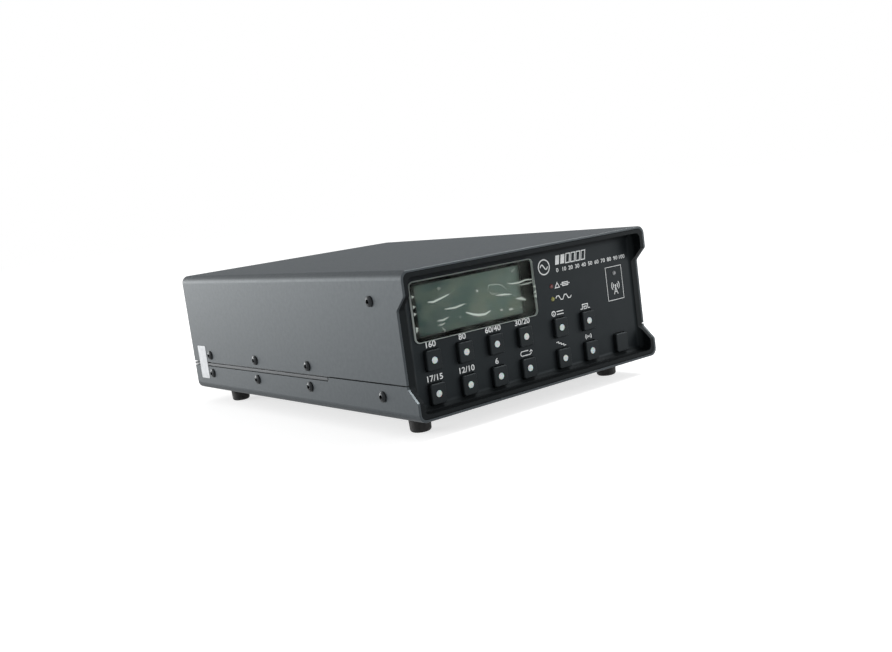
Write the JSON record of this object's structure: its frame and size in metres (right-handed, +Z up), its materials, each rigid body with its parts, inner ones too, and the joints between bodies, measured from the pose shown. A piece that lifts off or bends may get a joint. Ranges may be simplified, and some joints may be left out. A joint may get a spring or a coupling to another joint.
{
  "type": "shortwave linear amplifier",
  "caption": "Low shortwave power amplifier: folded sheet case over a finned heatsink, recessed front with display window, lit keys and lamps, rear fans and coaxial sockets.",
  "frame": {"origin": "middle of the whole outline, on the plane that the rubber feet stand on", "axes": "+X to the right seen from the front, +Y from the front panel to the rear panel, +Z up"},
  "size_m": [0.1528, 0.235, 0.0745],
  "materials": {
    "case_paint": "fine satin black paint",
    "bezel_plastic": "matt black moulding",
    "key_plastic": "matt black moulding",
    "key_light": "milky light guide",
    "window_acrylic": "clear acrylic",
    "display_glass": "dark green-grey liquid crystal glass",
    "bright_metal": "plain",
    "circuit_board": "solder mask",
    "black_plastic": "moulded",
    "red_lamp": "tinted resin",
    "yellow_lamp": "tinted resin",
    "clear_lamp": "clear resin",
    "black_anodised": "black anodised extrusion",
    "device_metal": "plated flange",
    "ferrite": "pressed ferrite",
    "toroid_coat": "coated iron powder",
    "relay_case": "moulded",
    "capacitor_sleeve": "printed sleeve",
    "brass": "turned",
    "cable_grey": "ribbon insulation",
    "nickel": "nickel plate",
    "socket_white": "turned fluoropolymer",
    "inlet_yellow": "moulded nylon",
    "rubber": "moulded",
    "black_steel": "black oxide",
    "bright_steel": "zinc plate"
  },
  "bodies": {
    "case": {"top_cover": "case_paint", "lower_chassis": "case_paint", "front_bezel": "bezel_plastic", "display_window": "window_acrylic", "display_frame": "bright_metal", "display_glass": "display_glass", "control_board": "circuit_board", "key_switches": "black_plastic", "fault_lamp": "red_lamp", "overdrive_lamp": "yellow_lamp", "transmit_lamp": "clear_lamp", "heatsink": "black_anodised", "amplifier_board": "circuit_board", "power_transistors": "device_metal", "transformers": "ferrite", "filter_board": "circuit_board", "filter_toroids": "toroid_coat", "filter_relays": "relay_case", "supply_capacitors": "capacitor_sleeve", "board_spacers": "brass", "ribbon_cable": "cable_grey", "rear_panel": "case_paint", "fan_frames": "black_plastic", "antenna_sockets": "nickel", "socket_insulators": "socket_white", "power_inlet": "inlet_yellow", "control_jacks": "black_plastic", "ground_post": "nickel", "rubber_feet": "rubber", "case_screws": "black_steel", "panel_screws": "bright_steel", "board_screws": "bright_steel"},
    "band_key_1": {"band_key_1": "key_plastic", "band_lens_1": "key_light"},
    "band_key_2": {"band_key_2": "key_plastic", "band_lens_2": "key_light"},
    "band_key_3": {"band_key_3": "key_plastic", "band_lens_3": "key_light"},
    "band_key_4": {"band_key_4": "key_plastic", "band_lens_4": "key_light"},
    "band_key_5": {"band_key_5": "key_plastic", "band_lens_5": "key_light"},
    "band_key_6": {"band_key_6": "key_plastic", "band_lens_6": "key_light"},
    "band_key_7": {"band_key_7": "key_plastic", "band_lens_7": "key_light"},
    "auto_key": {"auto_key": "key_plastic", "auto_lens": "key_light"},
    "info_key": {"info_key": "key_plastic", "info_lens": "key_light"},
    "bypass_key": {"bypass_key": "key_plastic", "bypass_lens": "key_light"},
    "attenuator_key": {"attenuator_key": "key_plastic", "attenuator_lens": "key_light"},
    "wireless_key": {"wireless_key": "key_plastic", "wireless_lens": "key_light"},
    "power_key": {"power_key": "key_plastic"},
    "fan_rotor_left": {"fan_rotor_left": "black_plastic"},
    "fan_rotor_right": {"fan_rotor_right": "black_plastic"}
  },
  "joints": [
    {"name": "band_key_1_press", "type": "slide", "parent": "case", "child": "band_key_1", "axis": [0, 1, 0], "range_m": [0, 0.001], "stiffness_N_per_m": 1500},
    {"name": "band_key_2_press", "type": "slide", "parent": "case", "child": "band_key_2", "axis": [0, 1, 0], "range_m": [0, 0.001], "stiffness_N_per_m": 1500},
    {"name": "band_key_3_press", "type": "slide", "parent": "case", "child": "band_key_3", "axis": [0, 1, 0], "range_m": [0, 0.001], "stiffness_N_per_m": 1500},
    {"name": "band_key_4_press", "type": "slide", "parent": "case", "child": "band_key_4", "axis": [0, 1, 0], "range_m": [0, 0.001], "stiffness_N_per_m": 1500},
    {"name": "band_key_5_press", "type": "slide", "parent": "case", "child": "band_key_5", "axis": [0, 1, 0], "range_m": [0, 0.001], "stiffness_N_per_m": 1500},
    {"name": "band_key_6_press", "type": "slide", "parent": "case", "child": "band_key_6", "axis": [0, 1, 0], "range_m": [0, 0.001], "stiffness_N_per_m": 1500},
    {"name": "band_key_7_press", "type": "slide", "parent": "case", "child": "band_key_7", "axis": [0, 1, 0], "range_m": [0, 0.001], "stiffness_N_per_m": 1500},
    {"name": "auto_key_press", "type": "slide", "parent": "case", "child": "auto_key", "axis": [0, 1, 0], "range_m": [0, 0.001], "stiffness_N_per_m": 1500},
    {"name": "info_key_press", "type": "slide", "parent": "case", "child": "info_key", "axis": [0, 1, 0], "range_m": [0, 0.001], "stiffness_N_per_m": 1500},
    {"name": "bypass_key_press", "type": "slide", "parent": "case", "child": "bypass_key", "axis": [0, 1, 0], "range_m": [0, 0.001], "stiffness_N_per_m": 1500},
    {"name": "attenuator_key_press", "type": "slide", "parent": "case", "child": "attenuator_key", "axis": [0, 1, 0], "range_m": [0, 0.001], "stiffness_N_per_m": 1500},
    {"name": "wireless_key_press", "type": "slide", "parent": "case", "child": "wireless_key", "axis": [0, 1, 0], "range_m": [0, 0.001], "stiffness_N_per_m": 1500},
    {"name": "power_key_press", "type": "slide", "parent": "case", "child": "power_key", "axis": [0, 1, 0], "range_m": [0, 0.001], "stiffness_N_per_m": 1500},
    {"name": "fan_left_spin", "type": "hinge", "parent": "case", "child": "fan_rotor_left", "pos_m": [-0.046, 0.082, 0.0501], "axis": [0, 1, 0], "continuous": true},
    {"name": "fan_right_spin", "type": "hinge", "parent": "case", "child": "fan_rotor_right", "pos_m": [0.046, 0.082, 0.0501], "axis": [0, 1, 0], "continuous": true}
  ]
}
